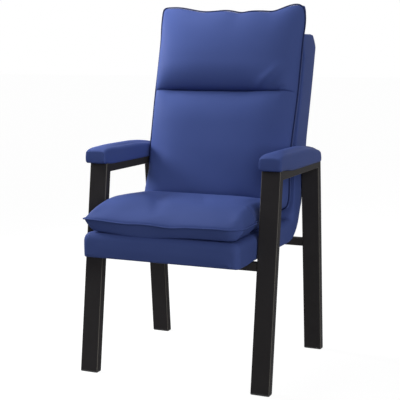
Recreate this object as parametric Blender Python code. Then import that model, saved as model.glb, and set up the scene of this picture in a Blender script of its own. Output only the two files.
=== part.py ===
"""Padded conference armchair: two black tube frames, an upholstered L-shaped shell, pillows and arm pads.

Metres, +Z up. The chair faces -Y, and left and right are the sitter's (left is +X). The shapes are worked
out with Y = 0 at the middle of the feet, and the empty that carries them all is then moved so that the origin
lies under the middle of the chair's box.
"""

import math

import bmesh
import bpy
import numpy as np

# Clearances
FIT_GAP = 0.0003
ARM_GAP = 0.0005
SCREW_PLAY = 0.0003

# Side frames: flat rectangular tube
FRAME_WIDTH = 0.600
TUBE_WIDTH = 0.057
TUBE_DEPTH = 0.0265
TUBE_WALL = 0.002
TUBE_CORNER = 0.004
TUBE_INNER_CORNER = 0.002
FOOTPRINT_DEPTH = 0.5244
FRONT_LEG_LEAN = math.radians(7.27)
REAR_LEG_LEAN = math.radians(5.69)
RAIL_BOTTOM = 0.594

# Foot caps
FOOT_HEIGHT = 0.005
FOOT_CHAMFER = 0.0015
FOOT_PLUG = 0.018

# Crossbars and the straps that carry the seat
CROSSBAR_BOTTOM = 0.341
CROSSBAR_SIZE = 0.025
CROSSBAR_WALL = 0.0018
CROSSBAR_CORNER = 0.0036
CROSSBAR_INNER_CORNER = 0.0018
STRAP_WIDTH = 0.040
STRAP_THICKNESS = 0.0055
STRAP_INSET = 0.113

# Seat bolts and inserts: the dome holds shares of the head's radius and height, lowest first
BOLT_RADIUS = 0.003
BOLT_HEAD_LIP = 0.0035
BOLT_HEAD_HEIGHT = 0.004
BOLT_HEAD_DOME = ((0.55, 0.0), (0.90, 0.35), (1.0, 1.0))
BOLT_FRONT_INSET = 0.050
BOLT_REAR_INSET = 0.050
INSERT_WALL = 0.0015

# Upholstered shell
SLAB_THICKNESS = 0.068
SLAB_FRONT = -0.347
SLAB_TOP_EDGE = 0.024
SLAB_BOTTOM_EDGE = 0.008
SLAB_SIDE_EDGE = 0.014
SHELL_INNER_CORNER = 0.016
SHELL_OUTER_CORNER = 0.009
SHELL_CORNER_LIMIT = 0.9
SHELL_BEND = 0.110
SHELL_INNER_BEND = 0.030
SHELL_TOP_RISE = 0.562
SHELL_TOP_EDGE = 0.036
BACK_DEPTH = 0.142
BACK_STRAIGHT_RISE = 0.140
SHELL_BORDER = 0.030

# Line of the back pillow's rim, measured from the seat slab's top
RIM_START = 0.0126
RIM_SLOPE = 0.3953
RIM_CURVE = 0.1356
GUSSET_TOP = 0.012
GUSSET_LEAST = 0.006
GUSSET_GROWTH = 0.080

# Sheets and boards
COVER_THICKNESS = 0.004
BOARD_THICKNESS = 0.012

# Pillows: how far a corner is drawn in, and how near to the corner
CORNER_PULL = 0.045
CORNER_SHARPNESS = 14

# Seat pillow
SEAT_RIM_RISE = 0.038
SEAT_CROWN = 0.050
SEAT_FULLNESS = 0.6
SEAT_FRONT_OVERHANG = 0.005
SEAT_FRONT_FALL = 0.140
SEAT_SIDE_FALL = 0.036
SEAT_REAR_FALL = 0.040
SEAT_UNDER_FALL = 0.034

# Back pillow: a higher squareness keeps a crown full closer to the edge
BACK_BOTTOM_RISE = 0.015
BACK_TOP_RISE = 0.635
BACK_ARM_INSET = 0.0057
BACK_FLARE = 0.0242
BACK_CROWN = 0.052
BACK_SIDE_SQUARENESS = 4
BACK_END_SQUARENESS = 8
GUSSET_SIDE_SQUARENESS = 10
GUSSET_END_SQUARENESS = 16
CHANNEL_RISE = 0.388
CHANNEL_DEPTH = 0.038
CHANNEL_REACH = 0.036
EAR_RISE = 0.020
EAR_START = 0.090
EAR_TIP = 0.215
EAR_FADE = 6

# Welt cords
PIPING_RADIUS = 0.0025

# Arm pads: the swell shares are heights up the pad's side
PAD_INNER_OVERHANG = 0.002
PAD_OUTER_OVERHANG = 0.006
PAD_LIP = 0.0095
PAD_HEIGHT = 0.061
PAD_CROWN = 0.020
PAD_SQUARENESS = 2.8
PAD_SWELL = 0.001
PAD_SWELL_SHARES = (0.42, 0.22)
PAD_FRONT_OVERHANG = 0.018
PAD_CORNER = 0.014
PAD_REAR_DROP = 0.013
PAD_REAR_ROUND = 0.030
PAD_REAR_SKIN = 0.0085
ARM_BOARD_THICKNESS = 0.009
ARM_BOARD_INSET = 0.014

# Arm screws: the pan holds shares of the head's radius and height, lowest first
ARM_SCREW_RADIUS = 0.0025
ARM_SCREW_HEAD_LIP = 0.0025
ARM_SCREW_HEAD_HEIGHT = 0.0028
ARM_SCREW_HEAD_PAN = ((0.6, 0.0), (1.0, 0.5), (1.0, 1.0))
ARM_SCREW_SPACING = 0.200
ARM_SCREW_TIP = 0.002

# Mesh fineness: counts of points, and turns in degrees through a rounded end
CORNER_STEPS = 3
ROUND_STEPS = 16
PIPING_SIDES = 6
SLAB_STATIONS = 4
BEND_STATIONS = 9
BACK_STATIONS = 11
SLAB_FRONT_TURNS = (0, 18, 34, 50, 70, 90)
SHELL_TOP_TURNS = (90, 68, 45, 22, 0)
PILLOW_COLUMNS = 19
SEAT_ROWS = 17
BACK_ROWS = 27
EDGE_CROWDING = 0.55
PAD_STATIONS = 9
PAD_COLUMNS = 11
PAD_FRONT_TURNS = (0, 30, 60, 90)
PAD_REAR_TURNS = (90, 70, 52, 36, 22, 0)
SMOOTH_ANGLE = math.radians(35)

# Values that follow from the sizes above
SIDES = {"left": 1, "right": -1}
LEGS = {"front": (FRONT_LEG_LEAN, -FOOTPRINT_DEPTH / 2), "rear": (-REAR_LEG_LEAN, FOOTPRINT_DEPTH / 2)}
RAIL_TOP = RAIL_BOTTOM + TUBE_DEPTH
FRAME_INNER = FRAME_WIDTH / 2 - TUBE_WIDTH
FRAME_MIDDLE = FRAME_WIDTH / 2 - TUBE_WIDTH / 2
STRAP_BOTTOM = CROSSBAR_BOTTOM + CROSSBAR_SIZE + FIT_GAP
STRAP_MIDDLE = FRAME_INNER - STRAP_INSET
SEAT_BOTTOM = STRAP_BOTTOM + STRAP_THICKNESS + FIT_GAP
SLAB_TOP = SEAT_BOTTOM + SLAB_THICKNESS
SHELL_HALF = FRAME_INNER - PAD_INNER_OVERHANG - PAD_SWELL - ARM_GAP
SHELL_TOP = SLAB_TOP + SHELL_TOP_RISE
BOARD_DEPTH = COVER_THICKNESS + 2 * FIT_GAP
POCKET_DEPTH = BOARD_DEPTH + BOARD_THICKNESS + FIT_GAP
PAD_BOTTOM = RAIL_TOP - PAD_LIP
PAD_TOP_RISE = PAD_BOTTOM + PAD_HEIGHT - SLAB_TOP
WELT = 2 * PIPING_RADIUS + FIT_GAP


def material(name, colour, roughness, metallic=0.0):
    """A Principled material of one colour."""
    made = bpy.data.materials.new(name)
    made.use_nodes = True
    shader = made.node_tree.nodes["Principled BSDF"]
    shader.inputs["Base Color"].default_value = (*colour, 1.0)
    shader.inputs["Roughness"].default_value = roughness
    shader.inputs["Metallic"].default_value = metallic
    made.diffuse_color = (*colour, 1.0)
    return made


def add_object(name, points, faces, made_of):
    """A mesh object under the chair's empty, with its faces turned outwards."""
    mesh = bpy.data.meshes.new(name)
    mesh.from_pydata([tuple(map(float, p)) for p in points], [], [tuple(map(int, f)) for f in faces])
    shape = bmesh.new()
    shape.from_mesh(mesh)
    bmesh.ops.recalc_face_normals(shape, faces=shape.faces)
    shape.to_mesh(mesh)
    shape.free()
    mesh.shade_smooth()
    mesh.set_sharp_from_angle(angle=SMOOTH_ANGLE)
    mesh.materials.append(made_of)
    made = bpy.data.objects.new(name, mesh)
    made.parent = CHAIR
    bpy.context.scene.collection.objects.link(made)
    return made


def loft_faces(rings, per_ring, closed):
    """Quads between neighbouring rings of points, with end caps unless the rings close on themselves."""
    faces = []
    for ring in range(rings if closed else rings - 1):
        here = ring * per_ring
        there = (ring + 1) % rings * per_ring
        for k in range(per_ring):
            after = (k + 1) % per_ring
            faces.append((here + k, here + after, there + after, there + k))
    if not closed:
        faces.append(range(per_ring))
        faces.append(range((rings - 1) * per_ring, rings * per_ring))
    return faces


def loft(name, rings, made_of, closed=False):
    """One skin over a list of rings, each with the same number of points."""
    faces = loft_faces(len(rings), len(rings[0]), closed)
    return add_object(name, np.concatenate(rings), faces, made_of)


def rounded_rectangle(half_across, half_up, upper_radius, lower_radius):
    """Points round a rectangle about the origin whose corners are quarter circles of two sizes."""
    turn = np.radians(np.linspace(0, 90, CORNER_STEPS + 1))
    points = []
    for quarter, (sign_across, sign_up) in enumerate(((1, 1), (-1, 1), (-1, -1), (1, -1))):
        angles = turn + quarter * math.pi / 2
        radius = upper_radius if sign_up > 0 else lower_radius
        across = sign_across * (half_across - radius) + radius * np.cos(angles)
        up = sign_up * (half_up - radius) + radius * np.sin(angles)
        points.append(np.stack([across, up], axis=1))
    return np.concatenate(points)


def box(name, low, high, made_of):
    """A plain block between two corners."""
    floor_plan = ((low[0], low[1]), (high[0], low[1]), (high[0], high[1]), (low[0], high[1]))
    rings = [np.array([(x, y, z) for x, y in floor_plan]) for z in (low[2], high[2])]
    return loft(name, rings, made_of)


def turned(name, profile, centre, made_of, closed=False):
    """A round piece: (radius, height) points turned about a vertical axis through a place in X and Y.

    The ends are flat. A closed profile makes a ring, with no ends.
    """
    angles = np.linspace(0, 2 * math.pi, ROUND_STEPS, endpoint=False)
    circle = np.stack([np.cos(angles), np.sin(angles)], axis=1)
    rings = []
    for radius, height in profile:
        rings.append(np.column_stack([circle * radius + centre, np.full(ROUND_STEPS, height)]))
    return loft(name, rings, made_of, closed)


def cut(target, cutter):
    """Takes a cutter's shape out of a piece and keeps the cutter as a hidden guide."""
    cutter.hide_render = True
    cutter.display_type = "WIRE"
    modifier = target.modifiers.new(cutter.name, "BOOLEAN")
    modifier.operation = "DIFFERENCE"
    modifier.solver = "EXACT"
    modifier.object = cutter


def drill(target, radius, centre, low, high):
    """A round vertical hole through a piece."""
    name = f"{target.name}_hole_{len(target.modifiers)}"
    cut(target, turned(name, ((radius, low), (radius, high)), centre, CUTTER))


def inward(lean):
    """The way along Y from a leg's outer face to its inner one: a leg leans inwards as it rises."""
    return 1 if lean > 0 else -1


def leg_face(lean, foot_y, height):
    """Y of a leg's outer face at a height."""
    return foot_y + math.tan(lean) * height


def leg_line(lean, foot_y, height):
    """Y of a leg's middle line at a height."""
    return leg_face(lean, foot_y, height) + inward(lean) * TUBE_DEPTH / 2 / math.cos(lean)


def mitre(lean, foot_y):
    """The plane, as a point and a normal in Y and Z, where a leg that leans by an angle meets the flat rail.

    It runs from the corner between the leg's outer face and the rail's top to the inner corner below it.
    """
    outer = np.array([leg_face(lean, foot_y, RAIL_TOP), RAIL_TOP])
    thickness = inward(lean) * TUBE_DEPTH / math.cos(lean)
    inner = np.array([leg_face(lean, foot_y, RAIL_BOTTOM) + thickness, RAIL_BOTTOM])
    along = inner - outer
    normal = np.array([-along[1], along[0]])
    return outer, normal / np.linalg.norm(normal)


def tube(name, section, start, direction, ends, made_of):
    """A hollow tube: an outer and an inner section run along a line to two end planes.

    The section holds (across X, along the tube's other side) points for the outside and the inside, and each
    end is a (point, normal) pair in Y and Z on which every run of the section stops.
    """
    direction = np.asarray(direction) / np.linalg.norm(direction)
    across = np.array([1.0, 0.0, 0.0])
    other = np.array([0.0, direction[2], -direction[1]])
    rings = []
    for which, (point, normal) in ((0, ends[0]), (0, ends[1]), (1, ends[1]), (1, ends[0])):
        ring = np.asarray(start) + section[which] @ np.array([across, other])
        reach = (point - ring[:, 1:]) @ normal / (direction[1:] @ normal)
        rings.append(ring + reach[:, None] * direction)
    return loft(name, rings, made_of, closed=True)


def tube_section():
    """The frame tube's outside and inside outlines."""
    outer = rounded_rectangle(TUBE_WIDTH / 2, TUBE_DEPTH / 2, TUBE_CORNER, TUBE_CORNER)
    inner_half = (TUBE_WIDTH / 2 - TUBE_WALL, TUBE_DEPTH / 2 - TUBE_WALL)
    return outer, rounded_rectangle(*inner_half, TUBE_INNER_CORNER, TUBE_INNER_CORNER)


def side_frames():
    """Two legs and a rail on each side, mitred, with a cap in each leg's lower end and a pad on the rail."""
    floor = (np.array([0, FOOT_HEIGHT + FIT_GAP]), np.array([0, 1.0]))
    for side, sign in SIDES.items():
        rail_ends = []
        for place, (lean, foot_y) in LEGS.items():
            corner, normal = mitre(lean, foot_y)
            backed_off = normal * FIT_GAP / 2 * (-1 if normal[1] > 0 else 1)
            direction = (0, math.tan(lean), 1)
            start = (sign * FRAME_MIDDLE, leg_line(lean, foot_y, 0), 0)
            leg_ends = (floor, (corner + backed_off, normal))
            tube(f"{side}_{place}_leg", tube_section(), start, direction, leg_ends, BLACK_STEEL)
            foot(f"{side}_{place}_foot", start, direction)
            rail_ends.append((corner - backed_off, normal))
        rail_start = (sign * FRAME_MIDDLE, 0, RAIL_BOTTOM + TUBE_DEPTH / 2)
        rail = tube(f"{side}_arm_rail", tube_section(), rail_start, (0, 1, 0), rail_ends, BLACK_STEEL)
        arm(side, sign, rail)


def foot(name, start, direction):
    """A plastic cap: a flange as wide as the tube, with a chamfered sole, and a plug up inside the tube."""
    outer, _ = tube_section()
    inner_half = (TUBE_WIDTH / 2 - TUBE_WALL - FIT_GAP, TUBE_DEPTH / 2 - TUBE_WALL - FIT_GAP)
    plug = rounded_rectangle(*inner_half, TUBE_INNER_CORNER, TUBE_INNER_CORNER)
    sole = outer * (1 - FOOT_CHAMFER / np.array([TUBE_WIDTH / 2, TUBE_DEPTH / 2]))
    levels = ((sole, 0), (outer, FOOT_CHAMFER), (outer, FOOT_HEIGHT), (plug, FOOT_HEIGHT), (plug, FOOT_PLUG))
    rings = []
    for outline, height in levels:
        ring = np.column_stack([outline, np.zeros(len(outline))])
        ring[:, 1] *= math.hypot(direction[1], direction[2])
        rings.append(ring + np.asarray(start) + height * np.asarray(direction))
    loft(name, rings, BLACK_PLASTIC)


def crossbar_y(place):
    """Y of the middle of a crossbar, which is in line with its pair of legs."""
    return leg_line(*LEGS[place], CROSSBAR_BOTTOM + CROSSBAR_SIZE / 2)


def crossbar(place):
    """Square tube between the side frames."""
    half = CROSSBAR_SIZE / 2
    inner_half = half - CROSSBAR_WALL
    reach = FRAME_INNER - FIT_GAP
    outer = rounded_rectangle(half, half, CROSSBAR_CORNER, CROSSBAR_CORNER)
    inner = rounded_rectangle(inner_half, inner_half, CROSSBAR_INNER_CORNER, CROSSBAR_INNER_CORNER)
    middle = (crossbar_y(place), CROSSBAR_BOTTOM + half)
    rings = []
    for outline, x in ((outer, -reach), (outer, reach), (inner, reach), (inner, -reach)):
        rings.append(np.column_stack([np.full(len(outline), x), outline + middle]))
    loft(f"{place}_crossbar", rings, BLACK_STEEL, closed=True)


def seat_support():
    """Two crossbars and, lying on them, two flat straps that the seat is bolted to."""
    for place in LEGS:
        crossbar(place)
    front_y = crossbar_y("front") - CROSSBAR_SIZE / 2
    rear_y = crossbar_y("rear") + CROSSBAR_SIZE / 2
    for side, sign in SIDES.items():
        x = sign * STRAP_MIDDLE
        low = (x - STRAP_WIDTH / 2, front_y, STRAP_BOTTOM)
        high = (x + STRAP_WIDTH / 2, rear_y, STRAP_BOTTOM + STRAP_THICKNESS)
        strap = box(f"{side}_seat_strap", low, high, BLACK_STEEL)
        for centre in seat_bolt_places(sign).values():
            drill(strap, BOLT_RADIUS + SCREW_PLAY, centre, CROSSBAR_BOTTOM, SLAB_TOP)


def seat_bolt_places(sign):
    """X and Y of one strap's bolts: one behind the front crossbar, one ahead of the shell's bend."""
    x = sign * STRAP_MIDDLE
    front_y = crossbar_y("front") + CROSSBAR_SIZE / 2 + BOLT_FRONT_INSET
    rear_y = shell_rear() - SHELL_BEND - BOLT_REAR_INSET
    return {"front": (x, front_y), "rear": (x, rear_y)}


def rim_y(rise):
    """Y of the back pillow's rim at a rise above the slab: a line that leans back and slowly straightens."""
    return RIM_START + RIM_SLOPE * rise - RIM_CURVE * rise**2


def rim_slope(rise):
    """How fast the rim moves back with height."""
    return RIM_SLOPE - 2 * RIM_CURVE * rise


def gusset(rise):
    """Depth between the back pillow's rim and the shell behind it, which grows towards the seat."""
    return np.maximum(GUSSET_TOP + GUSSET_GROWTH * (SHELL_TOP_RISE - rise), GUSSET_LEAST)


def shell_rear():
    """Y of the upright tangent at the top of the shell's lower rear bend."""
    climb = SLAB_TOP + BACK_STRAIGHT_RISE - (SEAT_BOTTOM + SHELL_BEND)
    return rim_y(BACK_STRAIGHT_RISE) + BACK_DEPTH - rim_slope(BACK_STRAIGHT_RISE) * climb / 2


def shell_outline():
    """Matching (Y, Z) points along the shell's outer side (underside, rear) and inner side (top, front).

    The outer side is the flat underside, a quarter circle, a short curve that starts upright, and the rim's
    line set back by the back's depth. The inner side is the slab's top, a quarter circle and the line of
    the gusset.
    """
    bend_end = SEAT_BOTTOM + SHELL_BEND
    straight_start = SLAB_TOP + BACK_STRAIGHT_RISE
    rear = shell_rear()
    front_of_back = rim_y(SHELL_INNER_BEND) + gusset(SHELL_INNER_BEND)
    seat_end = (rear - SHELL_BEND, front_of_back - SHELL_INNER_BEND)
    share = np.linspace(0, 1, SLAB_STATIONS)
    outer = [(SLAB_FRONT + (seat_end[0] - SLAB_FRONT) * s, SEAT_BOTTOM) for s in share]
    inner = [(SLAB_FRONT + (seat_end[1] - SLAB_FRONT) * s, SLAB_TOP) for s in share]
    for angle in np.radians(np.linspace(0, 90, BEND_STATIONS))[1:]:
        turn = np.array([math.sin(angle), -math.cos(angle)])
        outer.append(np.array([seat_end[0], bend_end]) + SHELL_BEND * turn)
        inner.append(np.array([seat_end[1], SLAB_TOP + SHELL_INNER_BEND]) + SHELL_INNER_BEND * turn)
    for z in np.linspace(bend_end, SHELL_TOP, BACK_STATIONS)[1:]:
        rise = z - SLAB_TOP
        if z < straight_start:
            climb = (z - bend_end) ** 2 / (2 * (straight_start - bend_end))
            outer.append((rear + rim_slope(BACK_STRAIGHT_RISE) * climb, z))
        else:
            outer.append((rim_y(rise) + BACK_DEPTH, z))
        inner.append((rim_y(rise) + gusset(rise), z))
    return np.array(outer), np.array(inner)


def line_lengths(points):
    """Distance along a line of points at each of them."""
    steps = np.linalg.norm(np.diff(points, axis=0), axis=1)
    return np.concatenate([[0], np.cumsum(steps)])


def along_line(points, distances):
    """Points and unit normals (to the left of travel) at distances along a line of (Y, Z) points."""
    length = line_lengths(points)
    place = np.stack([np.interp(distances, length, points[:, k]) for k in (0, 1)], axis=1)
    corner = np.gradient(points, length, axis=0)
    way = np.stack([np.interp(distances, length, corner[:, k]) for k in (0, 1)], axis=1)
    way /= np.linalg.norm(way, axis=1)[:, None]
    return place, np.stack([-way[:, 1], way[:, 0]], axis=1)


def rounded_end(depth, radius):
    """How far an outline shrinks at a depth inside a rounded end."""
    inside = np.clip(radius - depth, 0, radius)
    return radius - np.sqrt(radius**2 - inside**2)


def end_depths(radius, turns):
    """Depths inside a rounded end, one for each turn in degrees from the end's face."""
    return radius * (1 - np.cos(np.radians(turns)))


def shell():
    """The L-shaped upholstery: a rounded rectangle carried along the L, shrinking at both rounded ends.

    A shallow pocket in its outer side holds the bent board and the two sheets that close it.
    """
    outer, inner = shell_outline()
    stations = []
    for depth in end_depths(SLAB_TOP_EDGE, SLAB_FRONT_TURNS):
        shrinks = [rounded_end(depth, edge) for edge in (SLAB_BOTTOM_EDGE, SLAB_TOP_EDGE, SLAB_SIDE_EDGE)]
        stations.append((outer[0] + (depth, 0), inner[0] + (depth, 0), *shrinks))
    stations += [(o, i, 0, 0, 0) for o, i in zip(outer[1:-1], inner[1:-1])]
    for depth in end_depths(SHELL_TOP_EDGE, SHELL_TOP_TURNS):
        ends = []
        for line in (outer, inner):
            way = (line[-1] - line[-2]) / (line[-1][1] - line[-2][1])
            ends.append(line[-1] - way * depth)
        stations.append((*ends, *[rounded_end(depth, SHELL_TOP_EDGE)] * 3))
    rings = []
    for o, i, outer_shrink, inner_shrink, side_shrink in stations:
        towards = (i - o) / np.linalg.norm(i - o)
        low = o + towards * outer_shrink
        high = i - towards * inner_shrink
        half_thick = np.linalg.norm(high - low) / 2
        most_corner = half_thick * SHELL_CORNER_LIMIT
        corners = (min(SHELL_INNER_CORNER, most_corner), min(SHELL_OUTER_CORNER, most_corner))
        outline = rounded_rectangle(SHELL_HALF - side_shrink, half_thick, *corners)
        rings.append(np.column_stack([outline[:, 0], (low + high) / 2 + outline[:, 1:] * towards]))
    upholstery = loft("shell_upholstery", rings, BLUE_LEATHERETTE)
    shell_boards(upholstery, outer)


def outer_sheet(name, line, span, depths, half_width, made_of):
    """A sheet that follows the shell's outer side, between two distances along it and two depths under it."""
    length = line_lengths(line)
    inside = length[(length > span[0] + FIT_GAP) & (length < span[1] - FIT_GAP)]
    places, normals = along_line(line, np.concatenate([[span[0]], inside, [span[1]]]))
    rings = []
    for place, normal in zip(places, normals):
        low, high = (place + normal * depth for depth in depths)
        corners = ((-half_width, *low), (half_width, *low), (half_width, *high), (-half_width, *high))
        rings.append(np.array(corners))
    return loft(name, rings, made_of)


def shell_boards(upholstery, line):
    """The bent board in the shell's pocket, and the dust cover and rear panel that close it."""
    length = line_lengths(line)
    start = SHELL_BORDER
    bend_start = length[SLAB_STATIONS - 1]
    end = length[-1] - SHELL_TOP_EDGE - SHELL_BORDER
    half = SHELL_HALF - SHELL_BORDER
    pocket_span = (start - FIT_GAP, end + FIT_GAP)
    pocket_reach = (-SHELL_OUTER_CORNER, POCKET_DEPTH)
    cut(upholstery, outer_sheet("shell_pocket", line, pocket_span, pocket_reach, half + FIT_GAP, CUTTER))
    cover = (FIT_GAP, FIT_GAP + COVER_THICKNESS)
    dust_cover = outer_sheet("seat_dust_cover", line, (start, bend_start - FIT_GAP), cover, half, BLACK_FELT)
    outer_sheet("outer_back_panel", line, (bend_start, end), cover, half, BLUE_LEATHERETTE)
    ply = (BOARD_DEPTH, BOARD_DEPTH + BOARD_THICKNESS)
    board = outer_sheet("shell_board", line, (start, end), ply, half, PLYWOOD)
    insert_radius = BOLT_RADIUS + SCREW_PLAY + INSERT_WALL
    for side, sign in SIDES.items():
        for place, centre in seat_bolt_places(sign).items():
            drill(dust_cover, BOLT_RADIUS + SCREW_PLAY, centre, STRAP_BOTTOM, SLAB_TOP)
            drill(board, insert_radius + FIT_GAP, centre, STRAP_BOTTOM, SLAB_TOP)
            seat_bolt(f"{side}_{place}_seat", centre, insert_radius)


def headed_profile(radius, lip, height, head, under, top):
    """Profile of a bolt or screw that points up: its head, given in shares, then a plain shank."""
    wide = radius + lip
    profile = [(wide * share, under - height + height * up) for share, up in head]
    return profile + [(radius, under), (radius, top)]


def seat_bolt(name, centre, insert_radius):
    """A domed bolt up through the strap, and the threaded insert in the board that it screws into."""
    board_bottom = SEAT_BOTTOM + BOARD_DEPTH
    end = board_bottom + BOARD_THICKNESS - FIT_GAP
    head = (BOLT_HEAD_LIP, BOLT_HEAD_HEIGHT, BOLT_HEAD_DOME)
    profile = headed_profile(BOLT_RADIUS, *head, STRAP_BOTTOM - FIT_GAP, end)
    turned(f"{name}_bolt", profile, centre, ZINC_STEEL)
    bore = BOLT_RADIUS + SCREW_PLAY
    bush = ((insert_radius, board_bottom), (insert_radius, end), (bore, end), (bore, board_bottom))
    turned(f"{name}_insert", bush, centre, BRASS, closed=True)


def edge_steps(count):
    """Steps from -1 to 1 that crowd towards both ends, where a pillow curves most."""
    even = np.linspace(-1, 1, count)
    return even * (1 - EDGE_CROWDING) + np.sin(even * math.pi / 2) * EDGE_CROWDING


def pillow_grid(rows):
    """Places across (u) and along (v) a pillow, from -1 to 1, with the corners drawn in to be round."""
    v, u = np.meshgrid(edge_steps(rows), edge_steps(PILLOW_COLUMNS), indexing="ij")
    drawn_u = u * (1 - CORNER_PULL * np.abs(v) ** CORNER_SHARPNESS)
    drawn_v = v * (1 - CORNER_PULL * np.abs(u) ** CORNER_SHARPNESS)
    return drawn_u, drawn_v


def fall(distance, length):
    """A pillow's rise from its edge: 0 at the edge, 1 past the given length, round in between."""
    share = np.clip(distance / length, 0, 1)
    return 1 - (1 - share) ** 2


def dome(place, squareness):
    """A crown's height across a pillow: 1 in the middle, 0 at -1 and 1, fuller with more squareness."""
    return np.sqrt(np.clip(1 - np.abs(place) ** squareness, 0, 1))


def smooth_step(value):
    """0 below 0, 1 above 1, with a smooth climb between."""
    share = np.clip(value, 0, 1)
    return share * share * (3 - 2 * share)


def pillow(name, upper, lower, made_of):
    """A closed pillow from two grids of points that share the upper one's rim."""
    rows, columns = upper.shape[:2]
    index = np.arange(rows * columns).reshape(rows, columns)
    under = index.copy()
    under[1:-1, 1:-1] = rows * columns + np.arange((rows - 2) * (columns - 2)).reshape(rows - 2, columns - 2)
    points = np.concatenate([upper.reshape(-1, 3), lower[1:-1, 1:-1].reshape(-1, 3)])
    faces = []
    for sheet, step in ((index, 1), (under, -1)):
        for a in range(rows - 1):
            for b in range(columns - 1):
                quad = (sheet[a, b], sheet[a, b + 1], sheet[a + 1, b + 1], sheet[a + 1, b])
                faces.append(quad[::step])
    return add_object(name, points, faces, made_of)


def piping(name, grid):
    """A round welt cord just outside the rim of a pillow's grid of points."""
    rim = np.concatenate([grid[0, :-1], grid[:-1, -1], grid[-1, :0:-1], grid[:0:-1, 0]])
    ahead = np.roll(rim, -1, axis=0) - np.roll(rim, 1, axis=0)
    ahead /= np.linalg.norm(ahead, axis=1)[:, None]
    centre = rim.mean(axis=0)
    flat = np.linalg.svd(rim - centre, full_matrices=False)[2][2]
    outward = np.cross(ahead, flat)
    outward *= np.sign(np.sum(outward * (rim - centre), axis=1))[:, None]
    outward /= np.linalg.norm(outward, axis=1)[:, None]
    up = np.cross(outward, ahead)
    middle = rim + outward * (PIPING_RADIUS + FIT_GAP)
    angles = np.linspace(0, 2 * math.pi, PIPING_SIDES, endpoint=False)
    rings = []
    for point, out, side in zip(middle, outward, up):
        rings.append(point + PIPING_RADIUS * (np.cos(angles)[:, None] * out + np.sin(angles)[:, None] * side))
    return loft(name, rings, DARK_WELT, closed=True)


def seat_pillow(back_front):
    """The seat's pillow: a low crown that falls slowly to the front and quickly at the sides and rear.

    Its underside bellies down to the slab, close to the edge. Its rear ends just short of the back pillow,
    whose front points are given.
    """
    half = SHELL_HALF - WELT
    front = SLAB_FRONT - SEAT_FRONT_OVERHANG
    beside = back_front[..., 2] < SLAB_TOP + SEAT_RIM_RISE + SEAT_CROWN
    rear = back_front[..., 1][beside].min() - WELT - FIT_GAP
    u, v = pillow_grid(SEAT_ROWS)
    x = u * half
    y = front + (v + 1) / 2 * (rear - front)
    side = half - np.abs(x)
    top = fall(y - front, SEAT_FRONT_FALL) * fall(rear - y, SEAT_REAR_FALL) * fall(side, SEAT_SIDE_FALL)
    nearest = np.minimum(np.minimum(y - front, rear - y), side)
    belly = np.sqrt(fall(nearest, SEAT_UNDER_FALL))
    rim = SLAB_TOP + FIT_GAP + SEAT_RIM_RISE
    upper = np.stack([x, y, rim + SEAT_CROWN * top**SEAT_FULLNESS], axis=2)
    lower = np.stack([x, y, rim - SEAT_RIM_RISE * belly], axis=2)
    for edge in (np.s_[0, :], np.s_[-1, :], np.s_[:, 0], np.s_[:, -1]):
        upper[edge][..., 2] = rim
    pillow("seat_cushion", upper, lower, BLUE_LEATHERETTE)
    piping("seat_piping", upper)


def back_pillow():
    """The back's pillow: two crowns above and below one sewn channel, with raised corners at the top.

    Each point lies on the leaning rim line and is moved along the line's normal, forwards by the crown and
    backwards by the gusset. Gives back the front points.
    """
    u, v = pillow_grid(BACK_ROWS)
    upness = (v + 1) / 2
    level = BACK_BOTTOM_RISE + upness * (BACK_TOP_RISE - BACK_BOTTOM_RISE)
    half = SHELL_HALF - BACK_ARM_INSET + BACK_FLARE * (level - PAD_TOP_RISE) - WELT
    ear = EAR_RISE * smooth_step((np.abs(u) * half - EAR_START) / (EAR_TIP - EAR_START))
    rise = level + ear * upness**EAR_FADE
    slope = rim_slope(rise)
    forward = np.stack([-np.ones_like(slope), slope], axis=2) / np.hypot(1, slope)[:, :, None]
    across = dome(u, BACK_SIDE_SQUARENESS)
    channel = np.exp(-(((rise - CHANNEL_RISE) / CHANNEL_REACH) ** 2)) * across
    crown = (BACK_CROWN - CHANNEL_DEPTH * channel) * across * dome(v, BACK_END_SQUARENESS)
    boxed = dome(u, GUSSET_SIDE_SQUARENESS) * dome(v, GUSSET_END_SQUARENESS)
    behind = (gusset(rise) - 2 * FIT_GAP) / np.hypot(1, slope) * boxed
    x = (u * half)[:, :, None]
    line = np.stack([rim_y(rise), SLAB_TOP + rise], axis=2)
    rim = np.concatenate([x, line], axis=2)
    upper = np.concatenate([x, line + forward * crown[:, :, None]], axis=2)
    lower = np.concatenate([x, line - forward * behind[:, :, None]], axis=2)
    for edge in (np.s_[0, :], np.s_[-1, :], np.s_[:, 0], np.s_[:, -1]):
        upper[edge] = rim[edge]
    pillow("back_cushion", upper, lower, BLUE_LEATHERETTE)
    piping("back_piping", upper)
    return upper


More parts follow.
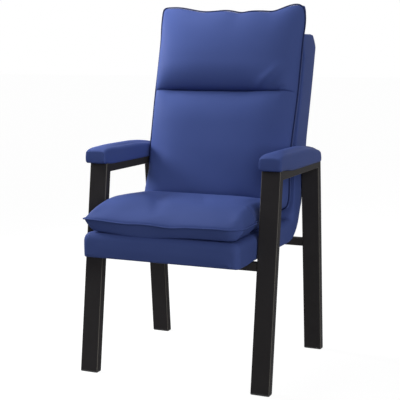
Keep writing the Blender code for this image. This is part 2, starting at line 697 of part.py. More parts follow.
def arm(side, sign, rail):
    """The pad on one rail, the board inside it and the two screws that hold the board down.

    The pad hangs a little over the rail on both sides, so a channel is cut for the rail, and above it a
    closed pocket for the board.
    """
    rail_front, rail_rear = (leg_face(*LEGS[place], RAIL_TOP) for place in ("front", "rear"))
    lip_front = leg_face(*LEGS["front"], PAD_BOTTOM)
    centre_x = sign * FRAME_MIDDLE
    half_tube = TUBE_WIDTH / 2
    half_channel = half_tube + FIT_GAP
    pad = arm_pad(f"{side}_arm_pad", sign, rail_front - PAD_FRONT_OVERHANG, rail_rear)
    channel_low = (centre_x - half_channel, lip_front - FIT_GAP, RAIL_BOTTOM)
    channel_high = (centre_x + half_channel, rail_rear + PAD_CORNER, RAIL_TOP + FIT_GAP)
    cut(pad, box(f"{side}_pad_channel", channel_low, channel_high, CUTTER))
    board_low = (centre_x - half_tube, rail_front + ARM_BOARD_INSET, RAIL_TOP + FIT_GAP)
    board_high = (centre_x + half_tube, rail_rear - ARM_BOARD_INSET, board_low[2] + ARM_BOARD_THICKNESS)
    pocket_low = (centre_x - half_channel, board_low[1] - FIT_GAP, RAIL_TOP)
    pocket_high = (centre_x + half_channel, board_high[1] + FIT_GAP, board_high[2] + FIT_GAP)
    cut(pad, box(f"{side}_pad_pocket", pocket_low, pocket_high, CUTTER))
    board = box(f"{side}_arm_board", board_low, board_high, PLYWOOD)
    middle = (board_low[1] + board_high[1]) / 2
    drill_span = (RAIL_BOTTOM - PAD_LIP, board_high[2] + PAD_LIP)
    head = (ARM_SCREW_HEAD_LIP, ARM_SCREW_HEAD_HEIGHT, ARM_SCREW_HEAD_PAN)
    screw_span = (RAIL_BOTTOM - FIT_GAP, board_high[2] - ARM_SCREW_TIP)
    for place, step in (("front", -1), ("rear", 1)):
        centre = (centre_x, middle + step * ARM_SCREW_SPACING / 2)
        for target in (rail, board):
            drill(target, ARM_SCREW_RADIUS + SCREW_PLAY, centre, *drill_span)
        profile = headed_profile(ARM_SCREW_RADIUS, *head, *screw_span)
        turned(f"{side}_{place}_arm_screw", profile, centre, ZINC_STEEL)


def arm_pad(name, sign, front, rear):
    """A boxy pad with swelling sides and a crowned top, round at both ends and lower towards the rear."""
    half = (TUBE_WIDTH + PAD_INNER_OVERHANG + PAD_OUTER_OVERHANG) / 2
    centre_x = sign * (FRAME_INNER - PAD_INNER_OVERHANG + half)
    front_places = front + end_depths(PAD_CORNER, PAD_FRONT_TURNS)
    level_places = np.linspace(front + PAD_CORNER, rear - PAD_REAR_ROUND, PAD_STATIONS)[1:-1]
    rear_places = rear - end_depths(PAD_REAR_ROUND, PAD_REAR_TURNS)
    across = np.linspace(1, -1, PAD_COLUMNS)
    crown = 1 - PAD_CROWN / PAD_HEIGHT * (1 - dome(across, PAD_SQUARENESS))
    rings = []
    for y in np.concatenate([front_places, level_places, rear_places]):
        shrink = rounded_end(min(y - front, rear - y), PAD_CORNER)
        droop = PAD_REAR_DROP * smooth_step((y - front) / (rear - front) * 2 - 1)
        rear_height = PAD_HEIGHT - droop - PAD_LIP - PAD_REAR_SKIN
        rear_fall = rounded_end(rear - y, PAD_REAR_ROUND) / PAD_REAR_ROUND * rear_height
        width = half - shrink
        low = shrink / 2
        high = PAD_HEIGHT - droop - max(rounded_end(y - front, PAD_CORNER), rear_fall)
        over = np.column_stack([across * width, low + (high - low) * crown])
        right = [(-width - PAD_SWELL, low + (high - low) * share) for share in PAD_SWELL_SHARES]
        under = [(-width + PAD_SWELL, low), (width - PAD_SWELL, low)]
        left = [(-x, z) for x, z in right[::-1]]
        outline = np.concatenate([over, right, under, left])
        x = centre_x + outline[:, 0]
        rings.append(np.column_stack([x, np.full(len(outline), y), PAD_BOTTOM + outline[:, 1]]))
    return loft(name, rings, BLUE_LEATHERETTE)


def centre_on_origin():
    """Moves the chair's empty so that the middle of the chair's box in X and Y lies over the origin."""
    pieces = [piece for piece in CHAIR.children if not piece.hide_render]
    corners = np.array([vertex.co for piece in pieces for vertex in piece.data.vertices])
    CHAIR.location.y = -(corners[:, 1].min() + corners[:, 1].max()) / 2


for old in list(bpy.data.objects):
    bpy.data.objects.remove(old)
CHAIR = bpy.data.objects.new("chair", None)
bpy.context.scene.collection.objects.link(CHAIR)

BLUE_LEATHERETTE = material("blue leatherette", (0.058, 0.088, 0.285), 0.45)
DARK_WELT = material("dark blue welt", (0.018, 0.026, 0.085), 0.5)
BLACK_STEEL = material("black powder-coated steel", (0.018, 0.017, 0.018), 0.5)
BLACK_PLASTIC = material("black plastic", (0.012, 0.012, 0.012), 0.6)
BLACK_FELT = material("black non-woven felt", (0.010, 0.010, 0.010), 0.95)
PLYWOOD = material("birch plywood", (0.52, 0.36, 0.20), 0.7)
ZINC_STEEL = material("zinc-plated steel", (0.55, 0.56, 0.58), 0.35, 1.0)
BRASS = material("brass", (0.62, 0.44, 0.16), 0.35, 1.0)
CUTTER = material("cutter", (1.0, 0.1, 0.1), 0.5)

side_frames()
seat_support()
shell()
seat_pillow(back_pillow())
centre_on_origin()
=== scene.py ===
"""Looks of a padded conference armchair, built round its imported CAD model.

Metres, +Z up. The chair faces -Y, and left is the sitter's left (+X). The sections follow the chair as it is
put together: steel frame, upholstered shell, pillows, arm pads, and then the studio.
"""

import math

import bmesh
import bpy
import numpy as np
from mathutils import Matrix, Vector


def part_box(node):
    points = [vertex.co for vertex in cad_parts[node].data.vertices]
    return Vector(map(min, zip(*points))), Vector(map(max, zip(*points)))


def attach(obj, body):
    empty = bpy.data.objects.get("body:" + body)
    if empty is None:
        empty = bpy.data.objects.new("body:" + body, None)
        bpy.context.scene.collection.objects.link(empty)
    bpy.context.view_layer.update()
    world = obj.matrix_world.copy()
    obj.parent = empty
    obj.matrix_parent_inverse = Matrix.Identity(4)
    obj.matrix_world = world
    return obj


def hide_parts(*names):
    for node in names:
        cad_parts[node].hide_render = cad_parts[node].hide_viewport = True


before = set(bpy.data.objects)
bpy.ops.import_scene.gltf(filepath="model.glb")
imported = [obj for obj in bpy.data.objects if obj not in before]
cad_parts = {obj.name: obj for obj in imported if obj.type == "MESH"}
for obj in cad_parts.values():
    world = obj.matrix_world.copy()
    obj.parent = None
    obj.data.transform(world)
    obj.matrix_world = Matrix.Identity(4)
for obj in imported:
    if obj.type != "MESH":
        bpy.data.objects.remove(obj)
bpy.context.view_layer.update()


# Side frames and seat carrier: legs, arm rails and crossbars of steel tube and two flat straps, welded up and
# powder-coated satin black. The baked powder has a faint orange peel and an uneven gloss. The tubes' round
# corners get a paler colour, a painted highlight that stands in for the lamps' reflection there.
def linear(colour):
    """sRGB hex to linear RGBA: c / 12.92 for a channel c up to 0.04045, ((c + 0.055) / 1.055)^2.4 above."""
    channels = np.array([int(colour[start:start + 2], 16) for start in (1, 3, 5)]) / 255
    values = np.where(channels <= 0.04045, channels / 12.92, ((channels + 0.055) / 1.055) ** 2.4)
    return (*values.tolist(), 1.0)


def shader_of(material):
    """A material's Principled shader."""
    return material.node_tree.nodes["Principled BSDF"]


def new_material(name, inputs):
    """A Principled material with plain values on its shader's own sockets."""
    material = bpy.data.materials.new(name)
    material.use_nodes = True
    for socket, value in inputs.items():
        shader_of(material).inputs[socket].default_value = value
    return material


def add_node(material, kind, inputs, feeds=(), **settings):
    """Adds a node to a material.

    Settings go on the node itself, inputs on its sockets as values or as other nodes' outputs, and feeds are
    pairs of an output and the socket that it leads to. A Mix node's colours are its sockets 6 and 7, and its
    output 2.
    """
    made = material.node_tree.nodes.new(kind)
    for name, value in settings.items():
        setattr(made, name, value)
    for name, value in inputs.items():
        if isinstance(value, bpy.types.NodeSocket):
            material.node_tree.links.new(value, made.inputs[name])
        else:
            made.inputs[name].default_value = value
    for output, socket in feeds:
        material.node_tree.links.new(made.outputs[output], socket)
    return made


def texture(material, kind, size_mm, inputs, **settings):
    """Adds a texture on Object coordinates, whose pattern has a size in real millimetres."""
    place = add_node(material, "ShaderNodeTexCoord", {}).outputs["Object"]
    return add_node(material, kind, {"Vector": place, "Scale": 1000 / size_mm, **inputs}, **settings)


def tint(material, factor, first, second):
    """Mixes two colours by a factor into the base colour of a material."""
    add_node(material, "ShaderNodeMix", {"Factor": factor, 6: linear(first), 7: linear(second)},
             [(2, shader_of(material).inputs["Base Color"])], data_type="RGBA")


def roughen(material, value, least, most, value_end=1.0):
    """Gives a material a roughness from least, where a value is 0, to most, where it is value_end."""
    add_node(material, "ShaderNodeMapRange",
             {"Value": value, "From Max": value_end, "To Min": least, "To Max": most},
             [("Result", shader_of(material).inputs["Roughness"])])


def emboss(material, height, strength, depth, **settings):
    """Gives a material small bumps of a depth in metres."""
    add_node(material, "ShaderNodeBump", {"Height": height, "Strength": strength, "Distance": depth},
             [("Normal", shader_of(material).inputs["Normal"])], **settings)


def paint(endings, material):
    """Gives a material to the CAD nodes whose names have these endings."""
    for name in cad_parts:
        if name.endswith(endings):
            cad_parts[name].data.materials.clear()
            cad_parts[name].data.materials.append(material)


orange_peel_mm = 2.6
gloss_patch_mm = 45.0
# Only the round corners have normals this far to the side, give or take the spread; they get a painted
# highlight.
corner_facing = 0.68
corner_spread = 0.27
powder_coat = new_material("satin black powder coat", {"Specular IOR Level": 0.010})
peel = texture(powder_coat, "ShaderNodeTexNoise", orange_peel_mm, {"Detail": 2.0})
patches = texture(powder_coat, "ShaderNodeTexNoise", gloss_patch_mm, {"Detail": 3.0, "Roughness": 0.6})
coat = add_node(powder_coat, "ShaderNodeMix",
                {"Factor": patches.outputs["Fac"], 6: linear("#353334"), 7: linear("#3D3B3C")},
                data_type="RGBA")
facing = add_node(powder_coat, "ShaderNodeSeparateXYZ",
                  {"Vector": add_node(powder_coat, "ShaderNodeNewGeometry", {}).outputs["Normal"]})
sideways = add_node(powder_coat, "ShaderNodeMath", {0: facing.outputs["X"]}, operation="ABSOLUTE")
edges = add_node(powder_coat, "ShaderNodeMath",
                 {0: sideways.outputs[0], 1: corner_facing, 2: corner_spread}, operation="COMPARE")
# Painted highlight: a paler colour on the round corners stands in for the lamps' reflection there.
add_node(powder_coat, "ShaderNodeMix",
         {"Factor": edges.outputs[0], 6: coat.outputs[2], 7: linear("#6A6762")},
         [(2, shader_of(powder_coat).inputs["Base Color"])], data_type="RGBA")
roughen(powder_coat, patches.outputs["Fac"], 0.36, 0.50)
emboss(powder_coat, peel.outputs["Fac"], 0.12, 0.0004)
paint(("_leg", "_arm_rail", "_crossbar", "_seat_strap"), powder_coat)


# Foot caps: injection-moulded black polypropylene plugs pushed into the legs' lower ends. The mould is spark
# eroded, which gives a sand texture with almost no shine, drawn coarser here than it is, so that it shows.
spark_grain_mm = 1.1
cap_plastic = new_material("spark-grained black polypropylene", {"Roughness": 0.62, "IOR": 1.49})
sand = texture(cap_plastic, "ShaderNodeTexNoise", spark_grain_mm, {"Detail": 1.0})
tint(cap_plastic, sand.outputs["Fac"], "#151515", "#1D1D1D")
emboss(cap_plastic, sand.outputs["Fac"], 0.3, 0.0003)
paint("_foot", cap_plastic)


# Boards: the bent seat and back board and the two arm boards, pressed from birch veneers and left raw, as the
# upholstery hides them. The veneer has a pale long grain.
grain_length_mm = 90.0
grain_width_mm = 3.0
plywood = new_material("raw birch plywood", {"Roughness": 0.68, "IOR": 1.5})
place = add_node(plywood, "ShaderNodeTexCoord", {}).outputs["Object"]
fibre_scale = (1000 / grain_width_mm, 1000 / grain_length_mm, 1000 / grain_length_mm)
stretched = add_node(plywood, "ShaderNodeMapping", {"Vector": place, "Scale": fibre_scale})
grain = add_node(plywood, "ShaderNodeTexNoise",
                 {"Vector": stretched.outputs["Vector"], "Scale": 1.0, "Detail": 4.0})
tint(plywood, grain.outputs["Fac"], "#B79A72", "#D6BE98")
paint("_board", plywood)


# Fasteners: bright zinc-plated steel bolts and screws, and turned brass inserts in the board. Zinc plate is a
# slightly cloudy bluish metal, and brass a warm one with turning marks, drawn wider than real ones to show.
cloud_mm = 6.0
zinc_plate = new_material("bright zinc plate on steel", {"Base Color": linear("#BFC3C7"), "Metallic": 1.0})
cloud = texture(zinc_plate, "ShaderNodeTexNoise", cloud_mm, {"Detail": 2.0})
roughen(zinc_plate, cloud.outputs["Fac"], 0.24, 0.40)
turning_mark_mm = 3.1416
wave_radians = 20
wave_size_mm = turning_mark_mm * wave_radians / (2 * math.pi)
turned_brass = new_material("turned brass", {"Base Color": linear("#C9A45A"), "Metallic": 1.0})
marks = texture(turned_brass, "ShaderNodeTexWave", wave_size_mm, {}, bands_direction="Z")
roughen(turned_brass, marks.outputs["Fac"], 0.25, 0.38)
paint(("_bolt", "_screw"), zinc_plate)
paint("_insert", turned_brass)


# Dust cover: a sheet of black spun-bonded felt stapled under the seat. Its fibres lie in all directions, so
# it looks matt and slightly mottled.
fibre_mm = 2.0
felt = new_material("black spun-bonded felt", {"Roughness": 0.95, "Specular IOR Level": 0.2})
fibres = texture(felt, "ShaderNodeTexNoise", fibre_mm, {"Detail": 4.0, "Distortion": 1.5})
tint(felt, fibres.outputs["Fac"], "#101010", "#242424")
emboss(felt, fibres.outputs["Fac"], 0.4, 0.0004)
paint("_dust_cover", felt)


# Upholstered shell: one L of foam over the bent board, under blue artificial leather, which is a satin skin
# embossed with a fine leather grain on a knitted backing. The cover is stretched over the rounded edges and
# stapled to the board, whose pocket the rear panel and the dust cover close.
tint_patch_mm = 120.0
# The grain's pebbles are well under 2 mm across. They are drawn this coarse so that they show.
pebble_mm = 2.2
leatherette = new_material("blue artificial leather", {"Specular IOR Level": 0.015, "IOR": 1.47})
pebbles = texture(leatherette, "ShaderNodeTexVoronoi", pebble_mm, {}, feature="SMOOTH_F1")
patches = texture(leatherette, "ShaderNodeTexNoise", tint_patch_mm, {"Detail": 2.0})
tint(leatherette, patches.outputs["Fac"], "#465690", "#4C5C97")
roughen(leatherette, pebbles.outputs["Distance"], 0.42, 0.52, value_end=0.7)
emboss(leatherette, pebbles.outputs["Distance"], 0.10, 0.0003, invert=True)


def grid_quads(points, round_rows):
    """Quads between the numbers of neighbours in a grid of points, whose rows may close in a ring."""
    numbers = np.arange(points.shape[0] * points.shape[1]).reshape(points.shape[:2])
    if round_rows:
        numbers = np.concatenate([numbers, numbers[:1]])
    corners = (numbers[:-1, :-1], numbers[:-1, 1:], numbers[1:, 1:], numbers[1:, :-1])
    return np.stack(corners, axis=-1).reshape(-1, 4)


def add_piece(name, points, quads, material, crisp_angle, held=None):
    """A smooth mesh object at the origin, with points that coincide merged and faces turned outwards.

    Held gives each point's share of being sewn down, which the mesh keeps for the stuffing.
    """
    mesh = bpy.data.meshes.new(name)
    mesh.from_pydata(points.reshape(-1, 3).tolist(), [], quads.tolist())
    if held is not None:
        shares = held.ravel().astype(np.float32)
        mesh.attributes.new("held", "FLOAT", "POINT").data.foreach_set("value", shares)
    shape = bmesh.new()
    shape.from_mesh(mesh)
    bmesh.ops.remove_doubles(shape, verts=shape.verts, dist=1e-6)
    bmesh.ops.recalc_face_normals(shape, faces=shape.faces)
    shape.to_mesh(mesh)
    shape.free()
    mesh.shade_smooth()
    mesh.set_sharp_from_angle(angle=math.radians(crisp_angle))
    mesh.materials.append(material)
    piece = bpy.data.objects.new(name, mesh)
    bpy.context.scene.collection.objects.link(piece)
    return piece


def rounded_end(depth, height, reach, power=2.0):
    """How far an outline draws in at a depth inside its rounded end: a quarter superellipse, reach by height.

    Power 2 is a plain ellipse, and nearly 1 is a straight chamfer.
    """
    inside = np.clip(1 - depth / height, 0, 1)
    return reach * (1 - (1 - inside**power) ** (1 / power))


def wrapped(over, under, cap_rows=0, swell=0.0, ways=((0, -1, 0), (0, 0, 1))):
    """One closed skin from two sheets of points with the same rows and columns and the same outer columns.

    The rows run up the first sheet and back down the second. At each end, rows that blend from one sheet to
    the other make a cap, which swells along that end's way by half a sine.
    """
    share = np.linspace(0, 1, cap_rows + 2)[1:-1, None, None]
    caps = []
    for end, way in zip((0, -1), ways):
        blend = over[end] * (1 - share) + under[end] * share
        caps.append(blend + np.sin(share * math.pi) * swell * np.array(way))
    points = np.concatenate([over, caps[1], under[::-1], caps[0][::-1]])
    return points, grid_quads(points, round_rows=True)


def points_from(x, line):
    """Points from X values and (Y, Z) points in the same rows and columns."""
    x = np.broadcast_to(x, line.shape[:2])
    return np.concatenate([x[:, :, None], line], axis=2)


def line_lengths(line):
    """Distance along a line of points at each of them."""
    return np.concatenate([[0], np.cumsum(np.linalg.norm(np.diff(line, axis=0), axis=1))])


def between(distances, length, values):
    """Rows of values at distances between those at known lengths, by straight lines."""
    return np.stack([np.interp(distances, length, column) for column in values.T], axis=1)


def along_line(line, distances):
    """Points of a (Y, Z) line at distances along it, and unit normals to the left of travel."""
    length = line_lengths(line)
    place = between(distances, length, line)
    way = between(distances, length, np.gradient(line, length, axis=0))
    way /= np.linalg.norm(way, axis=1)[:, None]
    return place, np.stack([-way[:, 1], way[:, 0]], axis=1)


def crease(across, up, start, end, width, depth):
    """A soft fold along a line: Gaussian across it, and fading out towards its ends as 1 - (2t - 1)^2."""
    run = np.subtract(end, start)
    length = np.hypot(*run)
    share = ((across - start[0]) * run[0] + (up - start[1]) * run[1]) / length**2
    aside = ((across - start[0]) * run[1] - (up - start[1]) * run[0]) / length
    return depth * np.exp(-((aside / width) ** 2)) * np.clip(1 - (2 * share - 1) ** 2, 0, 1)


shell_low, shell_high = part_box("shell_upholstery")
foot_middle = (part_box("left_front_foot")[0].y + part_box("left_rear_foot")[1].y) / 2
shell_half = shell_high.x
slab_thickness = 0.068
slab_top = shell_low.z + slab_thickness
fit_gap = 0.0003
rear_bend = 0.110
inner_bend = 0.022
back_depth = 0.142
straight_rise = 0.140
slab_top_edge = 0.024
slab_end_part = 0.034
slab_bottom_edge = 0.008
slab_side_edge = 0.020
shell_top_edge = 0.040
shell_top_part = 0.048
shell_top_reach = 0.044
shell_top_power = 1.15
shell_top_front_edge = 0.012
shell_top_side_edge = 0.004
slab_corner = 0.020
slab_corner_reach = 0.060
shell_inner_corner = 0.003
slab_sag = 0.003
slab_sag_start = 0.010
slab_sag_reach = 0.050
shell_outer_corner = 0.004
shell_side_crown = 0.0010
shell_back_swell = 0.0018
shell_back_swell_reach = 0.100
shell_rear_swell = 0.014
rear_swell_start = -0.85
rear_swell_rise = 0.035
rear_swell_fall = 0.120
gusset_depth = 0.036
gusset_thinning = 0.028
gusset_thin_start = 0.455
gusset_thin_reach = 0.125
pocket_border = 0.030
pocket_depth = 0.0178
pocket_top_border = 0.066
border_columns = 12
shell_creases = (((0.028, 0.452), (0.112, 0.446), 0.0035, 0.0020),
                 ((0.048, 0.470), (0.118, 0.461), 0.0035, 0.0020))
crease_flank_start = 0.010
crease_flank_reach = 0.008
back_start = 0.0126
back_lean = 0.3953
back_curve = 0.1356
rim_upright = 0.0860
rim_blend = 0.012


def lean_y(rise):
    """Y of the back's line at a rise above the slab: a parabola that leans back and slowly straightens."""
    return foot_middle + back_start + back_lean * rise - back_curve * rise**2


def rim_line(rise):
    """Y and slope of the back pillow's rim at a rise above the slab: upright below, the back's line above.

    They meet as (d + sqrt(d^2 + s^2)) / 2, where d is how far the back's line lies behind the upright one.
    """
    behind = lean_y(rise) - foot_middle - rim_upright
    root = np.sqrt(behind**2 + rim_blend**2)
    slope = (back_lean - 2 * back_curve * rise) * (1 + behind / root) / 2
    return foot_middle + rim_upright + (behind + root) / 2, slope


def smooth_step(value):
    """0 below 0 and 1 above 1, with 3s^2 - 2s^3 between."""
    share = np.clip(value, 0, 1)
    return share * share * (3 - 2 * share)


def gusset(rise):
    """Depth of the pillow behind its rim: even over most of its height, and thin at the top."""
    return gusset_depth - gusset_thinning * smooth_step((rise - gusset_thin_start) / gusset_thin_reach)


def shell_lines():
    """Matching (Y, Z) points along the shell's outer side and its inner side, closer together at both ends.

    Outer side: the flat underside, a quarter circle, a parabola that starts upright, and the back's line set
    back. It swells backwards from the quarter circle to the parabola's end, between two smooth steps. Inner
    side: the slab's top, a small quarter circle, and the pillow's rim set back by the gusset.
    """
    bend_end = shell_low.z + rear_bend
    straight = slab_top + straight_rise
    lean = back_lean - 2 * back_curve * straight_rise
    upright = lean_y(straight_rise) + back_depth - lean * (straight - bend_end) / 2
    corner = rim_line(inner_bend)[0] + gusset(inner_bend) - inner_bend
    slab_length = corner - shell_low.y
    turn = np.radians(np.linspace(0, 90, 11))
    end_share = slab_top_edge * (1 - np.cos(turn)) / slab_length
    share = np.concatenate([end_share, np.linspace(slab_end_part / slab_length, 1, 24)])
    circle = np.stack([np.sin(turn), 1 - np.cos(turn)], axis=1)[1:]
    top = shell_high.z - shell_top_edge * (1 - np.cos(turn[::-1]))
    even_top = shell_high.z - shell_top_part
    height = np.concatenate([np.linspace(bend_end, even_top, 40)[1:], top])
    climb = (height - bend_end) ** 2 / (2 * (straight - bend_end))
    rear = np.where(height < straight, upright + lean * climb, lean_y(height - slab_top) + back_depth)
    inner_height = np.concatenate([np.linspace(slab_top + inner_bend, even_top, 40)[1:], top])
    inner_rise = inner_height - slab_top
    flat = np.full_like(share, shell_low.z)
    underside = np.stack([shell_low.y + share * (upright - rear_bend - shell_low.y), flat], axis=1)
    topside = np.stack([shell_low.y + share * slab_length, np.full_like(share, slab_top)], axis=1)
    outer = np.concatenate([underside, underside[-1] + circle * rear_bend, np.stack([rear, height], axis=1)])
    swell = smooth_step((outer[:, 1] - bend_end) / rear_swell_rise - rear_swell_start)
    outer[:, 0] += shell_rear_swell * swell * smooth_step((straight - outer[:, 1]) / rear_swell_fall + 1)
    front = np.stack([rim_line(inner_rise)[0] + gusset(inner_rise), inner_height], axis=1)
    inner = (topside, topside[-1] + circle * inner_bend, front)
    return outer, np.concatenate(inner)


def shell_skin():
    """A rounded rectangle carried along the L, drawn in at both ends, with a pocket sunk in its outer side.

    Each row of points has an over sheet (side, inner face, side) and an under sheet (outer face). The edges
    of the pocket are doubled rows and columns, one at the face and one at the pocket's floor. Ahead of the
    front crossbar the padded border sags a little, by a smooth step.
    """
    outer, inner = shell_lines()
    length = line_lengths(outer)
    sag_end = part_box("front_crossbar")[0].y - slab_sag_start
    pocket = (pocket_border - fit_gap, length[-1] - pocket_top_border + fit_gap)
    inside = (length > pocket[0]) & (length < pocket[1])
    parts = (length[length < pocket[0]], length[inside], length[length > pocket[1]])
    rows = np.concatenate([parts[0], pocket[:1] * 2, parts[1], pocket[1:] * 2, parts[2]])
    sunk_rows = np.zeros(len(rows), bool)
    sunk_rows[len(parts[0]) + 1:len(parts[0]) + len(parts[1]) + 3] = True
    low, normal = along_line(outer, rows)
    floor = low + normal * pocket_depth
    high = between(rows, length, inner)
    low[:, 1] -= slab_sag * smooth_step((sag_end - low[:, 0]) / slab_sag_reach) * (low[:, 1] < slab_top)
    front_depth = np.where(rows < pocket[0], low[:, 0] - shell_low.y, 1.0)
    top_depth = np.where(rows > pocket[1], shell_high.z - low[:, 1], 1.0)
    outer_draw = (rounded_end(front_depth, slab_bottom_edge, slab_bottom_edge)
                  + rounded_end(top_depth, shell_top_edge, shell_top_reach, shell_top_power))
    inner_draw = (rounded_end(front_depth, slab_top_edge, slab_top_edge)
                  + rounded_end(top_depth, shell_top_front_edge, shell_top_front_edge))
    side_draw = (rounded_end(front_depth, slab_side_edge, slab_side_edge)
                 + rounded_end(top_depth, shell_top_side_edge, shell_top_side_edge))
    towards = (high - low) / np.linalg.norm(high - low, axis=1)[:, None]
    low = low + towards * outer_draw[:, None]
    high = high - towards * inner_draw[:, None]
    thick = np.linalg.norm(high - low, axis=1)[:, None]
    rise = high[:, 1:] - slab_top
    half = shell_half + shell_back_swell * smooth_step(rise / shell_back_swell_reach) - side_draw[:, None]
    lower_turn = np.radians(np.linspace(270, 180, 7))
    upper_turn = np.radians(np.linspace(180, 90, 7))[1:]
    side_share = np.linspace(0, 1, 11)[1:]
    corner = slab_corner + (shell_inner_corner - slab_corner) * smooth_step(rise / slab_corner_reach)
    straight = thick - shell_outer_corner - corner
    side_x = np.concatenate([shell_outer_corner * (1 + np.cos(lower_turn)) - half, 0 * side_share - half,
                             corner * (1 + np.cos(upper_turn)) - half], axis=1)
    side_up = np.concatenate([shell_outer_corner * (1 + np.sin(lower_turn)) + 0 * thick,
                              shell_outer_corner + side_share * straight,
                              thick - corner * (1 - np.sin(upper_turn))], axis=1)
    side_x = side_x + shell_side_crown * (2 * side_up / thick - 1) ** 2
    face_x = np.linspace(-1, 1, 38)[1:-1] * -side_x[:, -1:]
    over_x = np.concatenate([side_x, face_x, -side_x[:, ::-1]], axis=1)
    over_up = np.concatenate([side_up, thick + 0 * face_x, side_up[:, ::-1]], axis=1)
    over_line = low[:, None, :] + towards[:, None, :] * over_up[:, :, None]
    flank = np.clip((np.abs(over_x) - half + crease_flank_start) / crease_flank_reach, 0, 1)
    for start, end, width, depth in shell_creases:
        fold = crease(over_line[:, :, 0] - foot_middle, over_line[:, :, 1], start, end, width, depth)
        over_x = over_x - np.sign(over_x) * fold * flank
    over = points_from(over_x, over_line)
    plain_row = -40
    edge = (shell_half - pocket_border + fit_gap) / -side_x[plain_row, 0]
    columns = over_x.shape[1]
    border = np.linspace(edge, 1, border_columns)
    share = np.concatenate([-border[::-1], np.linspace(-edge, edge, columns - 2 * border_columns), border])
    column = np.arange(columns)
    sunk = sunk_rows[:, None] & (column >= border_columns) & (column < columns - border_columns)
    under_line = np.where(sunk[:, :, None], floor[:, None, :], low[:, None, :])
    under = points_from(share * -side_x[:, :1], under_line)
    return wrapped(over, under, cap_rows=7, swell=0.002)


shell = add_piece("shell_cover", *shell_skin(), leatherette, 50)
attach(shell, "root")
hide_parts("shell_upholstery")


# Rear panel: a thin board wrapped in the same artificial leather over a little wadding, and pressed into the
# shell's pocket with hidden clips, so its edges turn under all round.
panel_crown = 0.003
panel_edge = 0.010
panel_thickness = 0.004
panel_drop = 0.003


def crowded(count, crowding=0.55):
    """Steps from 0 to 1 that crowd towards both ends: part even steps, part half a cosine wave."""
    even = np.linspace(0, 1, count)
    return even * (1 - crowding) + (1 - np.cos(even * math.pi)) / 2 * crowding


def rear_panel_skin():
    """A sheet along the shell's outer side, crowned by a product of two parabolas, its edges turned under.

    The edge sinks by a quarter ellipse over the last few millimetres, and the inner face lies flat.
    """
    outer, _ = shell_lines()
    length = line_lengths(outer)
    bend_start = length[np.argmax(outer[:, 1] > shell_low.z + 1e-6) - 1]
    span = (bend_start, length[-1] - pocket_top_border)
    half = shell_half - pocket_border
    share = crowded(73, 0.8)
    place, normal = along_line(outer, span[0] + share * (span[1] - span[0]))
    x = (crowded(57, 0.8) * 2 - 1) * half
    from_end = np.minimum(share, 1 - share) * (span[1] - span[0])
    edge = np.minimum(from_end[:, None], half - np.abs(x))
    crown = panel_crown * (1 - (2 * share[:, None] - 1) ** 2) * (1 - (x / half) ** 2)
    outside = fit_gap + rounded_end(edge, panel_edge, panel_drop) - crown
    sheets = []
    for depth in (outside, np.full_like(outside, fit_gap + panel_thickness)):
        sheets.append(points_from(x, place[:, None, :] + normal[:, None, :] * depth[:, :, None]))
    sheets = [np.concatenate([sheets[1][:, :1], sheet, sheets[1][:, -1:]], axis=1) for sheet in sheets]
    return wrapped(*sheets)


rear_panel = add_piece("rear_panel_cover", *rear_panel_skin(), leatherette, 50)
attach(rear_panel, "root")
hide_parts("outer_back_panel")


# Back pillow: two sheets of the artificial leather sewn round a welt cord, stuffed with fibre and sewn once
# across, which makes the deep channel under the head panel. Its top corners stand up as soft ears.
welt_radius = 0.0022
welt_reach = welt_radius + fit_gap
back_bottom_rise = 0.031
back_top_rise = 0.633
channel_rise = 0.3848
channel_floor = 0.006
# For the chair's right and left, as in the other pairs that are chosen by u.
corner_pulls = (0.014, 0.036)
corner_powers = (44, 22)
ears = ((-1, 0.085, 0.115, 0.0150), (1, 0.125, 0.095, 0.0200))
top_waves = ((-0.026, 0.034, 0.0030), (0.030, 0.024, -0.0045), (0.136, 0.030, -0.0025))
# How much narrower, from which rise, and over how much of it.
back_narrowings = ((0.0045, 0.40, -0.20), (-0.0030, 0.53, 0.06))
back_overhang = 0.0012
lower_fullness = (0.018, 0.034)
lower_turn = 0.024
head_fullness = (0.066, -0.008)
head_turn = 0.150
channel_reaches = (0.110, 0.080)
channel_end_share = 0.35
# To which side, from where and over how much of the half width the channel gets shallow.
channel_ends = ((1, 0.25, 0.45), (1, 0.70, 0.20), (-1, 0.70, 0.25))
back_squareness = 4.2
squareness_gains = (1.6, -1.0)
squareness_reach = 0.160
upright_squareness = 14.0
upright_start = 0.006
upright_reach = 0.040
gusset_corner = 0.016
gusset_bulge = 0.003
gusset_start = 0.8
gusset_bend_share = 0.3
low_side_bulges = (0.008, 0.003)
low_side_top = 0.170
low_side_reach = 0.120
back_creases = (((0.116, 0.840), (0.204, 0.920), 0.013, -0.0046),
                ((0.134, 0.828), (0.214, 0.898), 0.011, 0.0034),
                ((0.180, 0.831), (0.211, 0.849), 0.0045, 0.0022),
                ((0.150, 0.838), (0.205, 0.846), 0.005, 0.0012))
stuffing_steps = 20
evening_passes = 24


def quarter(distance, reach):
    """A pillow's rise from a seam: a quarter ellipse from 0 at the seam to 1 past the reach."""
    share = np.clip(distance / reach, 0, 1)
    return np.sqrt(1 - (1 - share) ** 2)


def dome(place, squareness):
    """A crown's height across a pillow: sqrt(1 - |place|^squareness), 1 in the middle and 0 at -1 and 1."""
    return np.sqrt(np.clip(1 - np.abs(place) ** squareness, 0, 1))


def values_of(items, name, width, kind=np.float32):
    """One property of a mesh's points, edges or attribute, in rows of the given width."""
    values = np.zeros(len(items) * width, kind)
    items.foreach_get(name, values)
    return values.reshape(-1, width)


